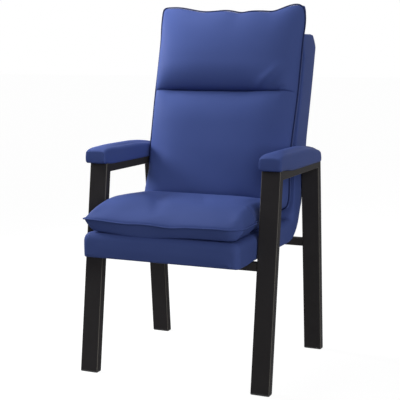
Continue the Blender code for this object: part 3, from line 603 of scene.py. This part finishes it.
def plump(piece, pressure, most):
    """Stuffs a sewn cover: Blender's cloth is blown up from inside while its held points stay where they are.

    Each free point then takes its neighbours' mean movement, many times over, which leaves broad swells and
    no wrinkles, and a movement d becomes m tanh(d / m), where m is the most. The mesh keeps no cloth.
    """
    mesh = piece.data
    held = values_of(mesh.attributes["held"].data, "value", 1)
    start = values_of(mesh.vertices, "co", 3)
    group = piece.vertex_groups.new(name="held")
    group.add(np.flatnonzero(held).tolist(), 1.0, "REPLACE")
    cloth = piece.modifiers.new("stuffing", "CLOTH")
    cloth.settings.vertex_group_mass = "held"
    cloth.settings.use_pressure = True
    cloth.settings.uniform_pressure_force = pressure
    cloth.settings.effector_weights.gravity = 0
    cloth.settings.quality = 6
    cloth.settings.bending_stiffness = 10.0
    cloth.collision_settings.use_collision = False
    cloth.point_cache.frame_start = 1
    cloth.point_cache.frame_end = stuffing_steps
    for step in range(1, stuffing_steps + 1):
        bpy.context.scene.frame_set(step)
    swollen = piece.evaluated_get(bpy.context.evaluated_depsgraph_get())
    moved = values_of(swollen.data.vertices, "co", 3) - start
    piece.modifiers.remove(cloth)
    piece.vertex_groups.remove(group)
    bpy.context.scene.frame_set(1)
    ends = values_of(mesh.edges, "vertices", 2, np.int32)
    neighbours = np.bincount(ends.ravel(), minlength=len(held))[:, None]
    for _ in range(evening_passes):
        total = np.zeros_like(moved)
        np.add.at(total, ends[:, 0], moved[ends[:, 1]])
        np.add.at(total, ends[:, 1], moved[ends[:, 0]])
        moved = np.where(held > 0, moved, total / neighbours)
    distance = np.linalg.norm(moved, axis=1)[:, None]
    moved *= most * np.tanh(distance / most) / np.maximum(distance, 1e-9)
    mesh.vertices.foreach_set("co", (start + moved).ravel())
    mesh.update()


def press(piece, creases, axes, way):
    """Presses creases, given along two axes, into a piece along a way, where its skin faces against it."""
    mesh = piece.data
    points = values_of(mesh.vertices, "co", 3)
    share = np.clip(values_of(mesh.vertex_normals, "vector", 3) @ np.array(way) * -2, 0, 1)
    for start, end, width, depth in creases:
        fold = crease(points[:, axes[0]], points[:, axes[1]], start, end, width, depth) * share
        points += fold[:, None] * np.array(way)
    mesh.vertices.foreach_set("co", points.ravel())
    mesh.update()


def soften(piece):
    """One subdivision, the same in the view and in the render, that keeps the sewn edges where they are."""
    mesh = piece.data
    held = values_of(mesh.attributes["held"].data, "value", 1).ravel()
    sewn = (held[values_of(mesh.edges, "vertices", 2, np.int32)] == 1).all(axis=1)
    mesh.attributes.new("crease_edge", "FLOAT", "EDGE").data.foreach_set("value", sewn.astype(np.float32))
    mesh.attributes.remove(mesh.attributes["held"])
    finer = piece.modifiers.new("softened", "SUBSURF")
    finer.levels = 1
    finer.render_levels = 1


def back_pillow_sheets():
    """Front and rear sheets of the back pillow on the leaning rim line, and their shares of being sewn down.

    Forwards the crown is a quarter ellipse from each seam and from the channel, which gets shallow towards
    its ends, times sqrt(1 - |u|^n) across. Away from the channel n grows below it and falls above it, and it
    grows where the rim stands upright. The low sides bulge by smooth steps. Backwards it is a box as deep as
    the gusset, with round corners and half a sine of bulge.
    """
    lower_share, upper_share = crowded(63, 0.75), crowded(47, 0.75)[1:]
    level = np.concatenate([back_bottom_rise + lower_share * (channel_rise - back_bottom_rise),
                            channel_rise + upper_share * (back_top_rise - channel_rise)])[:, None]
    below = level <= channel_rise
    v = (level - back_bottom_rise) / (back_top_rise - back_bottom_rise) * 2 - 1
    u = (crowded(97) * 2 - 1)[None, :]
    corner_pull = np.where(u < 0, *corner_pulls)
    corner_power = np.where(u < 0, *corner_powers)
    drawn_u = u * (1 - corner_pull * np.abs(v) ** corner_power)
    upness = (v * (1 - corner_pull * np.abs(u) ** corner_power) + 1) / 2
    rise = back_bottom_rise + upness * (back_top_rise - back_bottom_rise)
    narrowing = sum(depth * smooth_step((rise - start) / reach) for depth, start, reach in back_narrowings)
    x = drawn_u * (shell_half + back_overhang - narrowing - welt_reach)
    lift = np.zeros_like(x)
    for side, start, reach, height in ears:
        lift = lift + height * smooth_step((side * x - start) / reach)
    for middle, reach, height in top_waves:
        lift = lift + height * np.exp(-(((x - middle) / reach) ** 2))
    rise = rise + lift * np.clip(upness, 0, 1) ** 6
    rim_at, slope = rim_line(rise)
    forward = np.stack([-np.ones_like(slope), slope], axis=2) / np.hypot(1, slope)[:, :, None]
    up_share = (level - back_bottom_rise) / (channel_rise - back_bottom_rise)
    head_share = (level - channel_rise) / (back_top_rise - channel_rise)
    upright = rim_at - lean_y(rise)
    lower_full = lower_fullness[0] + lower_fullness[1] * up_share + upright
    lower_full = lower_full * quarter(level - back_bottom_rise, lower_turn) ** 0.8
    head_full = head_fullness[0] + head_fullness[1] * head_share
    head_full = head_full * quarter(back_top_rise - level, head_turn)
    full = np.where(below, lower_full, head_full)
    from_channel = np.abs(level - channel_rise)
    shallow = sum(smooth_step((way * u - start) / reach) for way, start, reach in channel_ends)
    shallow = shallow * channel_end_share
    fold = 1 - (1 - quarter(from_channel, np.where(below, *channel_reaches))) * (1 - shallow)
    squareness = np.where(below, *squareness_gains) * smooth_step(from_channel / squareness_reach)
    squareness = back_squareness + squareness
    squareness = squareness + upright_squareness * smooth_step((upright - upright_start) / upright_reach)
    crown = (channel_floor + (full - channel_floor) * fold) * dome(u, squareness)
    deep = (gusset(rise) - 2 * fit_gap) / np.hypot(1, slope) * dome(v, 16)
    corner = np.minimum(gusset_corner, 0.45 * deep)
    edge = np.clip((np.abs(u) - gusset_start) / (1 - gusset_start), 0, 1)
    bend = np.clip(edge / gusset_bend_share, 0, 1) * math.pi / 2
    wall = np.clip((edge - gusset_bend_share) / (1 - gusset_bend_share), 0, 1)
    behind = deep - corner * (1 - np.cos(bend)) - (deep - corner) * wall
    rim_x = np.where(u < 0, -x[:, :1], x[:, -1:])
    rear_x = (rim_x - corner * (1 - np.sin(bend))) * np.clip(np.abs(u) / gusset_start, 0, 1)
    rear_x = np.sign(u) * (rear_x + gusset_bulge * np.sin(wall * math.pi))
    line = np.stack([rim_at, slab_top + rise], axis=2)
    bulge = np.where(u < 0, *low_side_bulges) * smooth_step((low_side_top - rise) / low_side_reach)
    bulge = bulge * smooth_step((np.abs(u) - 0.75) / 0.2)
    front = points_from(x + np.sign(u) * bulge, line + forward * crown[:, :, None])
    rear = points_from(rear_x, line - forward * behind[:, :, None])
    rim = points_from(x, line)
    seam = np.zeros(rise.shape, bool)
    seam[[0, -1]] = True
    seam[:, [0, -1]] = True
    front[seam] = rim[seam]
    rear[seam] = rim[seam]
    front_held = seam.astype(float)
    front_held[len(lower_share) - 1] = 1
    return front, rear, np.stack([front_held, np.where(seam, 1, 0.5)])


def wrapped_held(held):
    """Shares of being sewn down in the order of a wrapped skin: up the first sheet, down the second."""
    return np.concatenate([held[0], held[1, ::-1]])


def rim_of(sheet):
    """The points round the edge of a sheet, as one closed line."""
    return np.concatenate([sheet[0, :-1], sheet[:-1, -1], sheet[-1, :0:-1], sheet[:0:-1, 0]])


back_front, back_rear, back_held = back_pillow_sheets()
back_skin = wrapped(back_front, back_rear)
back_pillow = add_piece("back_pillow", *back_skin, leatherette, 75, wrapped_held(back_held))
plump(back_pillow, pressure=4.0, most=0.012)
press(back_pillow, back_creases, (0, 2), (0, 1, 0))
soften(back_pillow)
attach(back_pillow, "root")
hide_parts("back_cushion")


# Back welt and channel seam: a paper cord wrapped in a bias strip of darker blue leather, sewn into the back
# pillow's seam all round. The channel's seam is a row of lockstitches in dark thread, drawn into the fold.
welt_leather = new_material("dark blue bias strip of artificial leather", {"Specular IOR Level": 0.12})
pebbles = texture(welt_leather, "ShaderNodeTexVoronoi", pebble_mm, {}, feature="SMOOTH_F1")
tint(welt_leather, pebbles.outputs["Distance"], "#1E284F", "#253060")
roughen(welt_leather, pebbles.outputs["Distance"], 0.45, 0.55, value_end=0.7)
stitch_mm = 7.0
stitch_steps = 8
stitch_columns = slice(3, -14)
stitch_stand = 0.0006
thread_end_radius = 0.0002
thread_swell = 0.0006


def tube_skin(path, radius, outward, closed):
    """A round tube along a path: circles of the given radius on two axes across the path."""
    ahead = np.gradient(path, axis=0)
    if closed:
        ahead = np.roll(path, -1, axis=0) - np.roll(path, 1, axis=0)
    ahead /= np.linalg.norm(ahead, axis=1)[:, None]
    outward = outward - ahead * np.sum(outward * ahead, axis=1)[:, None]
    outward /= np.linalg.norm(outward, axis=1)[:, None]
    side = np.cross(outward, ahead)
    turn = np.linspace(0, 2 * math.pi, 11)[None, :, None]
    circle = np.cos(turn) * outward[:, None, :] + np.sin(turn) * side[:, None, :]
    points = path[:, None, :] + np.reshape(radius, (-1, 1, 1)) * circle
    points[:, -1] = points[:, 0]
    return points, grid_quads(points, round_rows=closed)


def welt_skin(sheet):
    """A cord just outside a sheet's rim: outward is square to the rim in the plane that fits the rim best."""
    rim = rim_of(sheet)
    ahead = np.roll(rim, -1, axis=0) - np.roll(rim, 1, axis=0)
    centre = rim.mean(axis=0)
    flat = np.linalg.svd(rim - centre, full_matrices=False)[2][2]
    outward = np.cross(ahead, flat)
    outward *= np.sign(np.sum(outward * (rim - centre), axis=1))[:, None]
    outward /= np.linalg.norm(outward, axis=1)[:, None]
    return tube_skin(rim + outward * welt_reach, np.full(len(rim), welt_radius), outward, True)


back_welt = add_piece("back_welt", *welt_skin(back_front), welt_leather, 75)
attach(back_welt, "root")
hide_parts("back_piping")
channel_line = back_front[np.flatnonzero(back_held[0].all(axis=1))[1], stitch_columns]
stitch_length = line_lengths(channel_line)
stitch_count = round(stitch_length[-1] * 1000 / stitch_mm)
stitch_places = np.linspace(0, stitch_length[-1], stitch_steps * stitch_count + 1)
stitch_path = between(stitch_places, stitch_length, channel_line)
stitch_path[:, 1] -= stitch_stand
stitch_share = np.arange(len(stitch_places)) % stitch_steps / stitch_steps
stitch_radius = thread_end_radius + thread_swell * np.sin(stitch_share * math.pi) ** 0.5
channel_way = np.tile((0.0, -1.0, 0.3), (len(stitch_places), 1))
channel_stitches = add_piece("channel_stitches", *tube_skin(stitch_path, stitch_radius, channel_way, False),
                             welt_leather, 60)
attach(channel_stitches, "root")


# Seat pillow: made like the back pillow, but plain, softer at the front, and with a welt of its own leather.
# It lies on the slab, so it is flat below, and it reaches back to the back pillow. The sewn rim draws in
# between its corners, which are left as small points.
seat_low, seat_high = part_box("seat_cushion")
seat_rim_rise = 0.038
seat_rim = slab_top + fit_gap + seat_rim_rise
seat_crown = 0.044
# The fuller place at the right front: its X and Y, its spread along both, and its height.
seat_lobe = (-0.165, -0.190, 0.075, 0.100, 0.008)
seat_corner_rounds = (0.016, 0.036)
seat_corner_powers = (4, 14)
seat_corner_reach = 0.120
seat_front_bow = 0.004
seat_front_reach = 0.160
seat_rear_reach = 0.050
# The sides' reach at the front, how much shorter it gets behind, and over what length.
seat_side_reach = (0.050, 0.020, 0.035)
slack_share = 0.65
taut_gain = 1.2
belly_reach = 0.040
leg_lean = 0.0605
leg_clear_reach = 0.030
seat_side_pull = 0.012
seat_tail = 0.020
seat_shift = 0.005
seat_swell = 0.006
seat_droop = 0.008
droop_ahead = 0.014
droop_spread = 0.008
droop_side_reach = 0.040
# Where the droop hangs lower: its X, its spread, and how much lower.
seat_hang = (-0.060, 0.090, 0.010)
seat_creases = (((-0.115, -0.084), (-0.012, -0.306), 0.022, 0.0090),
                ((0.009, -0.042), (0.104, -0.246), 0.018, 0.0030))
seat_waves = ((-0.10, 0.060, -0.0040), (0.035, 0.055, -0.0065),
              (0.13, 0.035, -0.0015), (0.21, 0.030, -0.0015))


def parabola(distance, reach):
    """A slack cover's rise from a seam: a parabola from 0 at the seam to 1 past the reach."""
    return 1 - (1 - np.clip(distance / reach, 0, 1)) ** 2


def seat_pillow_sheets():
    """Upper and lower sheets of the seat pillow and their shares of being sewn down.

    With parabolas a, b and c from the front, the rear and the sides, the crown mixes (abc)^0.6 with a gain
    times (a^-3 + b^-3 + c^-3)^-0.2, which stops at 1, and has a Gaussian lobe. The belly falls to the slab by
    a power of a parabola. It hangs over the slab's front edge, and the front rim waves, by Gaussians. The
    front edge draws back at its corners by a power of |u|, and ahead of the legs the pillow swells and shifts
    to the chair's left.
    """
    u = (crowded(97) * 2 - 1)[None, :]
    v = (crowded(85) * 2 - 1)[:, None]
    half = shell_half - 2 * welt_reach
    front = np.clip(-v, 0, 1)
    length = seat_high.y - seat_low.y + seat_tail
    ahead = (v + 1) / 2 * length
    behind = length - ahead
    side = half - np.abs(u) * half
    y = seat_low.y + ahead + seat_front_bow * (1 - np.abs(u) ** 2.5) * front**3
    rounding = np.where(u < 0, *seat_corner_rounds) * np.abs(u) ** np.where(u < 0, *seat_corner_powers)
    y = y + rounding * (1 - np.clip(ahead / seat_corner_reach, 0, 1)) ** 2
    leg_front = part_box("left_front_leg")[0].y + leg_lean
    free = smooth_step((leg_front - y) / leg_clear_reach)
    x = u * half * (1 - seat_side_pull * (1 - np.abs(v) ** 2.5)) + free * (seat_shift + seat_swell * u)
    side_reach = seat_side_reach[0] - seat_side_reach[1] * smooth_step(ahead / seat_side_reach[2])
    reaches = (seat_front_reach, seat_rear_reach, side_reach)
    edges = [parabola(*pair) for pair in zip((ahead, behind, side), reaches)]
    slack = (edges[0] * edges[1] * edges[2]) ** 0.6
    taut = sum(np.maximum(edge, 1e-4) ** -3.0 for edge in edges) ** -0.2
    top = slack_share * slack + (1 - slack_share) * np.minimum(taut_gain * taut, 1)
    belly = parabola(np.minimum(np.minimum(ahead, behind), side), belly_reach) ** 0.75
    rim = seat_rim + 0 * x
    for middle, reach, height in seat_waves:
        rim = rim + height * np.exp(-(((x - middle) / reach) ** 2)) * front**4
    lobe = np.exp(-(((x - seat_lobe[0]) / seat_lobe[2]) ** 2) - ((y - seat_lobe[1]) / seat_lobe[3]) ** 2)
    upper = np.stack([x, y, rim + (seat_crown + seat_lobe[4] * lobe) * top], axis=2)
    hang = seat_droop + seat_hang[2] * np.exp(-(((x - seat_hang[0]) / seat_hang[1]) ** 2))
    droop = hang * np.exp(-(((ahead - droop_ahead) / droop_spread) ** 2))
    droop = droop * smooth_step(side / droop_side_reach)
    lower = np.stack([x, y, rim + (slab_top + fit_gap - rim) * belly - droop], axis=2)
    seam = np.zeros(x.shape, bool)
    seam[[0, -1]] = True
    seam[:, [0, -1]] = True
    upper[seam, 2] = rim[seam]
    lower[seam] = upper[seam]
    return upper, lower, np.stack([seam.astype(float), np.where(seam, 1, 0.5)])


seat_upper, seat_lower, seat_held = seat_pillow_sheets()
seat_skin = wrapped(seat_upper, seat_lower)
seat_pillow = add_piece("seat_pillow", *seat_skin, leatherette, 75, wrapped_held(seat_held))
plump(seat_pillow, pressure=3.0, most=0.008)
press(seat_pillow, seat_creases, (0, 1), (0, 0, -1))
soften(seat_pillow)
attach(seat_pillow, "root")
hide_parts("seat_cushion")
seat_welt = add_piece("seat_welt", *welt_skin(seat_upper), leatherette, 75)
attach(seat_welt, "root")
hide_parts("seat_piping")


# Arm pads: a block of firm foam glued on the arm board, with the artificial leather pulled over it and
# stapled under the board. The pad hangs a little over the rail on both sides and at the front.
pad_swell = 0.001
pad_top_stand = 0.001
# At the front, and behind the front part.
pad_corners = (0.007, 0.012)
pad_arches = (0.002, 0.007)
pad_front_part = 0.110
pad_front_reach = 0.100
pad_front_drop = 0.018
pad_front_corner = 0.004
pad_front_foot = 0.006
pad_foot_round = 0.004
pad_rear_reach = 0.200
pad_rear_drop = 0.019
pad_rear_edge = (0.030, 0.022)
pad_rear_corner = 0.022
pad_lip_least = 0.002
pad_rail_gap = 0.0015
# Inner and outer lip: the height, how far behind the front the lip reaches it, and over what length.
pad_lips = ((0.6155, 0.060, 0.050), (0.6135, 0.130, 0.100))


def arm_pad_skin(side):
    """A rounded box with an arched top carried along the rail, open below round the rail and the arm board.

    Along Y the top drops by a quarter ellipse at the front, and by a parabola and a short quarter ellipse at
    the rear, and the sides draw in by a quarter circle at both ends. The corners and the arch grow behind the
    front by a smooth step. The inner and the outer lip end at their own heights, and rise to the rail's top
    towards the front. The under sheet is the lips and a channel, whose steps are doubled rows and columns.
    """
    low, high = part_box(f"{side}_arm_pad")
    rail_low, rail_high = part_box(f"{side}_arm_rail")
    board_low, board_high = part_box(f"{side}_arm_board")
    centre = (low.x + high.x) / 2
    half = (high.x - low.x) / 2 - pad_swell
    turn = np.radians(np.linspace(0, 90, 25))
    steps = (rail_low.y - pad_rail_gap, board_low.y - fit_gap, board_high.y + fit_gap)
    plain = np.concatenate([low.y + pad_front_reach * (1 - np.cos(turn)),
                            np.linspace(low.y + pad_front_reach, high.y - pad_rear_reach, 18)[1:-1],
                            high.y - pad_rear_reach * (1 - np.cos(turn[::-1]))])
    y = np.sort(np.concatenate([plain, steps, steps]))[:, None]
    step_row = [np.flatnonzero(y[:, 0] == step)[1] for step in steps]
    row = np.arange(len(y))[:, None]
    rail_roof = rail_high.z + fit_gap
    roof = np.where(row < step_row[0], low.z, rail_roof)
    roof = np.where((row >= step_row[1]) & (row < step_row[2]), board_high.z + fit_gap, roof)
    front, rear = y - low.y, high.y - y
    width = half - rounded_end(front, pad_front_corner, pad_front_corner)
    width = width - rounded_end(rear, pad_rear_corner, pad_rear_corner)
    top = high.z + pad_top_stand - rounded_end(front, pad_front_reach, pad_front_drop)
    top = top - pad_rear_drop * np.clip(1 - rear / pad_rear_reach, 0, 1) ** 2
    top = top - rounded_end(rear, *pad_rear_edge)
    behind_front = smooth_step(front / pad_front_part)
    corner = np.minimum(np.interp(behind_front, (0, 1), pad_corners), (top - low.z) * 0.3)
    arch = np.minimum(np.interp(behind_front, (0, 1), pad_arches), (top - low.z) * 0.15)
    shoulder = top - arch - corner
    rise = np.linspace(0, 1, 13)[:-1]
    corner_turn = np.radians(np.linspace(180, 90, 8))
    swell = pad_swell * np.sin(rise * math.pi) - rounded_end(rise, 0.2, pad_foot_round)
    side_x = np.concatenate([-width - swell, corner * (1 + np.cos(corner_turn)) - width], axis=1)
    feet = []
    sides = []
    for height, lift_end, lift_reach in pad_lips if side == "left" else pad_lips[::-1]:
        foot = height + (rail_roof - height) * smooth_step((lift_end - front) / lift_reach)
        feet.append(foot + rounded_end(front, pad_front_foot, pad_front_foot))
        sides.append(np.concatenate([feet[-1] + rise * (shoulder - feet[-1]),
                                     shoulder + corner * np.sin(corner_turn)], axis=1))
    across = np.linspace(-1, 1, 28)[1:-1]
    over_x = np.concatenate([side_x, across * -side_x[:, -1:], -side_x[:, ::-1]], axis=1)
    over_z = np.concatenate([sides[0], top - arch * across**2, sides[1][:, ::-1]], axis=1)
    columns = over_x.shape[1]
    wall = np.minimum((board_high.x - board_low.x) / 2 + fit_gap, width - pad_foot_round - pad_lip_least)
    lip_x = wall + (width - pad_foot_round - wall) * np.linspace(1, 0, 6)
    roof_x = np.linspace(-1, 1, columns - 12) * wall
    under_x = np.concatenate([-lip_x, roof_x, lip_x[:, ::-1]], axis=1)
    under_z = np.concatenate([feet[0] + 0 * lip_x, np.maximum(roof, np.maximum(*feet)) + 0 * roof_x,
                              feet[1] + 0 * lip_x], axis=1)
    shift = rail_low.x + (rail_high.x - rail_low.x) / 2 - centre
    under_x = np.concatenate([under_x[:, :1], under_x[:, 1:-1] + shift, under_x[:, -1:]], axis=1)
    sheets = []
    for x, z in ((over_x, over_z), (under_x, under_z)):
        sheets.append(np.stack([centre + x, y + 0 * x, z], axis=2))
    return wrapped(*sheets, cap_rows=4, swell=0.0008, ways=((0, -1, 0), (0, 1, 0)))


for side in ("left", "right"):
    pad = add_piece(f"{side}_arm_cushion", *arm_pad_skin(side), leatherette, 50)
    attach(pad, "root")
    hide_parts(f"{side}_arm_pad")


# Studio: a plain floor and background that look white and keep the chair's shadow. A small lamp above and
# two at the left light the tops and the left edges, a broad sun fills from the front right, and pale light
# comes from all round.
def aim(item, place, target):
    """Puts a lamp or camera at a place and turns it to a target."""
    item.location = place
    item.rotation_euler = (Vector(target) - Vector(place)).to_track_quat("-Z", "Y").to_euler()
    bpy.context.scene.collection.objects.link(item)


def seen_directly(material):
    """1 for the rays that show the background: those from the camera, from gloss and through glass."""
    rays = add_node(material, "ShaderNodeLightPath", {}).outputs
    shown = rays["Is Camera Ray"]
    for kind in ("Is Glossy Ray", "Is Transmission Ray"):
        larger = add_node(material, "ShaderNodeMath", {0: shown, 1: rays[kind]}, operation="MAXIMUM")
        shown = larger.outputs[0]
    return shown


around = 0.11
floor_glow = 0.935
floor_half = 40.0
floor_corners = np.array([(-1, -1, 0), (1, -1, 0), (1, 1, 0), (-1, 1, 0)]) * floor_half
floor_white = new_material("matt studio floor", {"Base Color": linear("#808080"), "Roughness": 0.9,
                                                 "Specular IOR Level": 0.0})
glow_strength = add_node(floor_white, "ShaderNodeMath", {0: seen_directly(floor_white), 1: floor_glow},
                         operation="MULTIPLY")
glow = add_node(floor_white, "ShaderNodeEmission",
                {"Color": (1, 1, 1, 1), "Strength": glow_strength.outputs[0]})
add_node(floor_white, "ShaderNodeAddShader", {0: shader_of(floor_white).outputs["BSDF"], 1: glow.outputs[0]},
         [("Shader", floor_white.node_tree.nodes["Material Output"].inputs["Surface"])])
floor = add_piece("floor", floor_corners, np.array([[0, 1, 2, 3]]), floor_white, 30)

world = bpy.data.worlds.new("pale studio")
bpy.context.scene.world = world
world.use_nodes = True
background = world.node_tree.nodes["Background"]
background.inputs["Color"].default_value = (1, 1, 1, 1)
add_node(world, "ShaderNodeMapRange", {"Value": seen_directly(world), "To Min": around, "To Max": 1.0},
         [("Result", background.inputs["Strength"])])

# Each lamp's name, watts, size, place and target.
lamps = (("key light", 7.0, 0.6, (-0.50, 0.12, 1.75), (0, 0.05, 0.75)),
         ("side light", 19.0, 0.6, (-1.53, -0.21, 1.35), (-0.05, 0.05, 0.80)),
         ("rim light", 13.0, 0.6, (-1.53, 0.31, 1.35), (-0.05, 0.05, 0.80)))
for name, watts, size, place, target in lamps:
    lamp = bpy.data.lights.new(name, "AREA")
    lamp.energy = watts
    lamp.shape = "DISK"
    lamp.size = size
    aim(bpy.data.objects.new(name, lamp), place, target)
fill_light = bpy.data.lights.new("fill light", "SUN")
fill_light.energy = 2.10
fill_light.angle = math.radians(60)
aim(bpy.data.objects.new("fill light", fill_light), (3.03, -2.55, 0.56), (0, 0, 0))

lens = bpy.data.cameras.new("camera")
lens.sensor_width = 36.0
lens.lens = 90.44
camera = bpy.data.objects.new("camera", lens)
camera_place = np.array([1.1868, -2.7798, 0.9379])
camera_way = (-0.3928, 0.9085, -0.1425)
aim(camera, camera_place, camera_place + camera_way)
bpy.context.scene.camera = camera
bpy.context.scene.view_settings.view_transform = "Standard"
